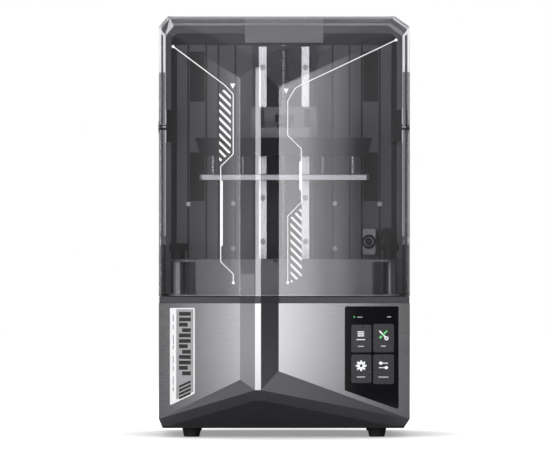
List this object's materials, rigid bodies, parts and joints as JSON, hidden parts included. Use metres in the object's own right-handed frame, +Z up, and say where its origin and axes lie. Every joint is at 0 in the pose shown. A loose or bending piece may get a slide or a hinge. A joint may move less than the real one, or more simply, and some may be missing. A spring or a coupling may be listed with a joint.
{
  "type": "resin 3d printer",
  "caption": "Desktop resin 3D printer: faceted base with a touch screen, smoked flip-up lid, vertical build platform on a screw axis, and a tilting resin vat.",
  "frame": {"origin": "middle of the footprint, on the surface the feet stand on", "axes": "+X to the viewer's right, -Y towards the front with the touch screen, +Z up"},
  "size_m": [0.336, 0.3292, 0.5475],
  "materials": {
    "silver_paint": "satin metallic",
    "smoked_acrylic": "polished transparent",
    "dark_paint": "satin",
    "black_plastic": "fine grain",
    "rocker_plastic": "gloss",
    "black_rubber": "matte",
    "screen_glass": "polished",
    "clear_lens": "polished",
    "badge_metal": "printed",
    "aluminium": "bead blasted",
    "black_anodised": "anodised",
    "steel": "ground",
    "motor_black": "satin",
    "brass": "turned",
    "camera_glass": "gloss",
    "lamp_diffuser": "diffuse",
    "circuit_board": "solder mask",
    "clear_film": "clear"
  },
  "bodies": {
    "root": {"bottom_tray": "black_plastic", "base_shell": "silver_paint", "touch_glass": "screen_glass", "display_module": "black_plastic", "badge_plate": "badge_metal", "rear_panel": "dark_paint", "power_inlet": "black_plastic", "usb_port": "steel", "fan_frames": "black_plastic", "feet": "black_rubber", "deck_plate": "dark_paint", "deck_rim": "black_plastic", "lid_seal": "black_rubber", "lamp_housing": "black_plastic", "lamp_lens": "clear_lens", "led_board": "aluminium", "heat_sink": "aluminium", "mainboard": "circuit_board", "power_supply": "motor_black", "tilt_pins": "steel", "tilt_bearings": "steel", "tilt_motor": "motor_black", "tower_shell": "dark_paint", "chamber_wall": "black_plastic", "wall_edges": "black_plastic", "face_frame": "silver_paint", "hinge_brackets": "black_plastic", "hinge_pins": "steel", "top_lamp": "lamp_diffuser", "z_column": "black_anodised", "rails": "steel", "cap_screws": "steel", "z_motor": "motor_black", "screw_bearing": "black_plastic", "camera_body": "aluminium", "camera_lens": "camera_glass", "camera_bracket": "black_plastic"},
    "lid": {"lid_shell": "smoked_acrylic", "pivot_caps": "black_plastic"},
    "carriage": {"rail_blocks": "steel", "carriage_plate": "aluminium", "lead_nut": "brass", "platform_arm": "aluminium", "plate_carrier": "black_anodised", "plate_springs": "steel"},
    "platform": {"build_plate": "aluminium", "guide_bolts": "steel"},
    "screw": {"lead_screw": "steel"},
    "tilt_deck": {"tilt_frame": "aluminium", "mask_screen": "screen_glass", "resin_vat": "aluminium", "film_ring": "aluminium", "release_film": "clear_film"},
    "left_knob": {"vat_knob_left": "aluminium"},
    "right_knob": {"vat_knob_right": "aluminium"},
    "cam": {"tilt_cam": "rocker_plastic"},
    "lever": {"lock_lever": "black_plastic"},
    "rocker": {"power_rocker": "rocker_plastic"},
    "left_fan": {"fan_rotor_left": "black_plastic"},
    "right_fan": {"fan_rotor_right": "black_plastic"}
  },
  "joints": [
    {"name": "lid_hinge", "type": "hinge", "parent": "root", "child": "lid", "pos_m": [0, 0.105, 0.407], "axis": [-1, 0, 0], "range_deg": [0, 90]},
    {"name": "z_slide", "type": "slide", "parent": "root", "child": "carriage", "axis": [0, 0, 1], "range_m": [-0.143, 0.075]},
    {"name": "screw_spin", "type": "hinge", "parent": "root", "child": "screw", "pos_m": [0, 0.071, 0.35], "axis": [0, 0, 1], "range_deg": [-6760, 12900]},
    {"name": "plate_float", "type": "slide", "parent": "carriage", "child": "platform", "axis": [0, 0, 1], "range_m": [0, 0.002], "stiffness_N_per_m": 4000, "springref_m": -0.005, "deforming": ["plate_springs"]},
    {"name": "vat_tilt", "type": "hinge", "parent": "root", "child": "tilt_deck", "pos_m": [0, 0.072, 0.178], "axis": [1, 0, 0], "range_deg": [0, 3]},
    {"name": "cam_turn", "type": "hinge", "parent": "root", "child": "cam", "pos_m": [0.124, -0.096, 0.1525], "axis": [1, 0, 0], "range_deg": [0, 180]},
    {"name": "left_knob_turn", "type": "hinge", "parent": "tilt_deck", "child": "left_knob", "pos_m": [-0.1385, -0.02, 0.24], "axis": [0, 0, 1], "range_deg": [0, 360]},
    {"name": "right_knob_turn", "type": "hinge", "parent": "tilt_deck", "child": "right_knob", "pos_m": [0.1385, -0.02, 0.24], "axis": [0, 0, 1], "range_deg": [0, 360]},
    {"name": "lever_turn", "type": "hinge", "parent": "carriage", "child": "lever", "pos_m": [0, -0.02, 0.41], "axis": [0, 0, 1], "range_deg": [0, 90]},
    {"name": "rocker_tip", "type": "hinge", "parent": "root", "child": "rocker", "pos_m": [-0.072, 0.1606, 0.048], "axis": [1, 0, 0], "range_deg": [-6, 6]},
    {"name": "left_fan_spin", "type": "hinge", "parent": "root", "child": "left_fan", "pos_m": [-0.072, 0.152, 0.1], "axis": [0, 1, 0], "continuous": true},
    {"name": "right_fan_spin", "type": "hinge", "parent": "root", "child": "right_fan", "pos_m": [0.072, 0.152, 0.1], "axis": [0, 1, 0], "continuous": true}
  ],
  "couplings": [
    {"joint": "screw_spin", "follows": "z_slide", "rad_per_m": -1570.8},
    {"joint": "cam_turn", "follows": "vat_tilt", "ratio": 60}
  ]
}
